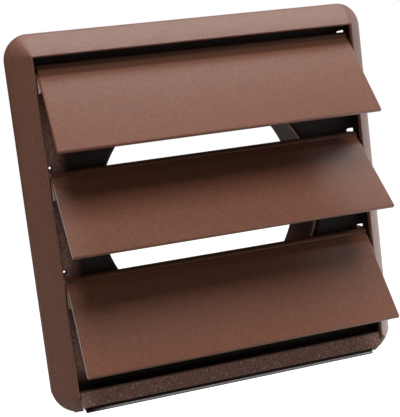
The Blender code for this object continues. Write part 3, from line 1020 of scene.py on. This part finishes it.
@dataclass
class FlapSet:
    """The three flaps, each as open as in the photograph."""

    flap: Flap = field(default_factory=Flap)
    # After the open angle come the painted end highlight, then for the top flap its painted hinge shadow
    # and bead shade.
    hangings: tuple = (
        Hanging("flap_top", "top_flap", (0.0, PIVOT_DEPTH, 57.9 * MM), 39.3, 0.95, 0.46, 0.22, True),
        Hanging("flap_middle", "middle_flap", (-0.2 * MM, PIVOT_DEPTH, 19.25 * MM), 46.2, 0.40),
        Hanging("flap_bottom", "bottom_flap", (0.0, PIVOT_DEPTH, -19.4 * MM), 36.2, 0.40),
    )

    def build(self) -> None:
        """Models one flap and hangs a copy on each pivot."""
        pattern = self.flap.pattern()
        for hanging in self.hangings:
            self.flap.hang(pattern, hanging)
        bpy.data.objects.remove(pattern, do_unlink=True)


@dataclass
class PhotoCamera:
    """The camera at the photograph's place."""

    place: tuple = (-102.86 * MM, -352.37 * MM, 42.02 * MM)
    right: tuple = (0.9512, -0.2844, -0.1197)
    forward: tuple = (0.2706, 0.9553, -0.1189)
    lens: float = 81.58
    sensor_width: float = 36.0
    clip: tuple = (0.01, 20.0)

    def build(self) -> bpy.types.Object:
        """Makes the camera and gives it to the scene.

        Returns:
            The camera object.
        """
        data = bpy.data.cameras.new("photo_camera")
        data.lens = self.lens
        data.sensor_width = self.sensor_width
        data.clip_start, data.clip_end = self.clip
        back = -Vector(self.forward).normalized()
        right = Vector(self.right)
        right = (right - back * right.dot(back)).normalized()
        up = back.cross(right)
        turned = Matrix((right, up, back)).transposed().to_4x4()
        camera = bpy.data.objects.new("photo_camera", data)
        bpy.context.scene.collection.objects.link(camera)
        camera.matrix_world = Matrix.Translation(Vector(self.place)) @ turned
        bpy.context.scene.camera = camera
        return camera


@dataclass(frozen=True)
class Lamp:
    """An area lamp aimed at the vent."""

    name: str
    place: tuple
    size: tuple
    power: float
    mirrored: bool = True

    def build(self) -> bpy.types.Object:
        """Stands the lamp in the scene, its first side as near to X as its aim allows.

        Returns:
            The lamp object.
        """
        data = bpy.data.lights.new(self.name, "AREA")
        data.shape = "RECTANGLE"
        data.size, data.size_y = self.size
        data.energy = self.power
        lamp = bpy.data.objects.new(self.name, data)
        bpy.context.scene.collection.objects.link(lamp)
        lamp.location = self.place
        back = Vector(self.place).normalized()
        along = Vector((1.0, 0.0, 0.0))
        along = (along - back * along.dot(back)).normalized()
        turned = Matrix((along, back.cross(along), back)).transposed()
        lamp.rotation_euler = turned.to_euler()
        lamp.visible_glossy = self.mirrored
        return lamp


@dataclass
class Studio:
    """Floor, world and lamps; distances in metres, powers in watts."""

    floor_drop: float = 0.30
    ambient: float = 0.085
    sheen_from: tuple = (1.0, 0.0, 0.0)
    sheen_edge: tuple = (0.40, 0.80)
    front_sheen: float = 0.02
    back_sheen: float = 1.2
    floor_white: float = 0.93
    floor_sheen: float = 2.1
    floor_tone: float = 0.3
    floor_size: float = 6.0
    floor_sheen_edge: tuple = (0.10, 0.45)
    lamps: tuple = (
        Lamp("overhead", (0.35, 0.44, 2.2), (2.2, 0.5), 38.0),
        Lamp("left", (-1.8, -0.40, 0.0), (0.8, 0.8), 9.0, mirrored=False),
        Lamp("front", (0.10, -1.05, 2.0), (1.4, 1.4), 42.0, mirrored=False),
    )

    def world(self) -> None:
        """A surround that shows white, lights dimly and is brighter in reflections from the right."""
        world = bpy.data.worlds.new("white_room")
        bpy.context.scene.world = world
        world.use_nodes = True
        tree = world.node_tree
        links = tree.links
        back = tree.nodes["Background"]
        back.inputs["Color"].default_value = (1.0, 1.0, 1.0, 1.0)
        place = tree.nodes.new("ShaderNodeTexCoord")
        toward = tree.nodes.new("ShaderNodeVectorMath")
        toward.operation = "DOT_PRODUCT"
        toward.inputs[1].default_value = self.sheen_from
        links.new(place.outputs["Generated"], toward.inputs[0])
        sheen = tree.nodes.new("ShaderNodeMapRange")
        sheen.interpolation_type = "SMOOTHSTEP"
        for name, value in (
            ("From Min", self.sheen_edge[0]),
            ("From Max", self.sheen_edge[1]),
            ("To Min", self.front_sheen),
            ("To Max", self.back_sheen),
        ):
            sheen.inputs[name].default_value = value
        links.new(toward.outputs["Value"], sheen.inputs["Value"])
        path = tree.nodes.new("ShaderNodeLightPath")
        glossy = self.choose(tree, path.outputs["Is Glossy Ray"], self.ambient, sheen.outputs["Result"])
        level = self.choose(tree, path.outputs["Is Camera Ray"], glossy, 1.0)
        links.new(level, back.inputs["Strength"])

    @staticmethod
    def choose(
        tree: bpy.types.NodeTree, switch: bpy.types.NodeSocket, off: object, on: object
    ) -> bpy.types.NodeSocket:
        """Mixes two levels by a switch.

        Args:
            tree: the node tree.
            switch: 0 or 1.
            off: the level at 0, a number or a socket.
            on: the level at 1, a number or a socket.

        Returns:
            The chosen level's socket.
        """
        node = tree.nodes.new("ShaderNodeMix")
        tree.links.new(switch, node.inputs["Factor"])
        for socket, value in ((node.inputs["A"], off), (node.inputs["B"], on)):
            if isinstance(value, float):
                socket.default_value = value
            else:
                tree.links.new(value, socket)
        return node.outputs["Result"]

    def floor(self) -> bpy.types.Object:
        """A pale floor that shows near white, keeps a soft shadow and glows on its right side in
        reflections only, as painted light.

        Returns:
            The floor.
        """
        bpy.ops.object.select_all(action="DESELECT")
        bpy.ops.mesh.primitive_plane_add(size=self.floor_size, location=(0.0, 0.0, -self.floor_drop))
        floor = bpy.context.object
        floor.name = "floor"
        sheet = NodeSheet("pale_floor")
        tone = self.floor_tone
        sheet.shader.inputs["Base Color"].default_value = (tone, tone, tone, 1.0)
        sheet.shader.inputs["Roughness"].default_value = 1.0
        sheet.shader.inputs["Specular IOR Level"].default_value = 0.0
        path = sheet.add("ShaderNodeLightPath")
        glow = sheet.add("ShaderNodeEmission")
        x, _, _ = sheet.axes()
        # Painted light: the floor's right side glows in reflections only.
        rightwards = sheet.step(x, *self.floor_sheen_edge)
        sheen = sheet.scaled(rightwards, self.floor_sheen)
        mirrored = self.choose(sheet.tree, path.outputs["Is Glossy Ray"], 0.0, sheen)
        level = self.choose(sheet.tree, path.outputs["Is Camera Ray"], mirrored, self.floor_white)
        sheet.link(level, glow.inputs["Strength"])
        both = sheet.add("ShaderNodeAddShader")
        sheet.link(sheet.shader.outputs["BSDF"], both.inputs[0])
        sheet.link(glow.outputs["Emission"], both.inputs[1])
        sheet.link(both.outputs["Shader"], sheet.tree.nodes["Material Output"].inputs["Surface"])
        floor.data.materials.append(sheet.material)
        return floor

    def build(self) -> None:
        """Builds the whole studio."""
        bpy.context.scene.view_settings.view_transform = "Standard"
        self.world()
        self.floor()
        for lamp in self.lamps:
            lamp.build()


@dataclass(frozen=True)
class KeptNode:
    """A CAD node that stays, with the finish that it gets."""

    name: str
    finish: MouldedPlastic

    def dress(self) -> None:
        """Gives the node its finish."""
        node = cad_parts[self.name]
        node.data.materials.clear()
        node.data.materials.append(self.finish.material())
        LOG.info("%s: dressed as %s", self.name, self.finish.name)


@dataclass
class BackParts:
    """The box and the duct collar, kept from the CAD."""

    # The box's recess takes painted shade and its drip lip a painted highlight.
    box: KeptNode = KeptNode(
        "shutter_box",
        MouldedPlastic(
            "box_brown", (0.33, 0.172, 0.135), 0.62, Texture.SPARK_ERODED, specular=0.2, recess_shade_tone=0.04
        ),
    )
    # The collar's bore takes painted shade.
    collar: KeptNode = KeptNode(
        "duct_collar",
        MouldedPlastic("collar_brown", (0.175, 0.075, 0.05), 0.5, specular=0.3, bore_shade_tone=0.4),
    )

    def build(self) -> None:
        """Dresses both."""
        self.box.dress()
        self.collar.dress()


def main() -> None:
    """Builds the scene."""
    logging.basicConfig(level=logging.INFO, format="%(name)s: %(message)s")
    PhotoCamera().build()
    Studio().build()
    BackParts().build()
    Cover().build()
    FlapSet().build()


if __name__ == "__main__":
    main()
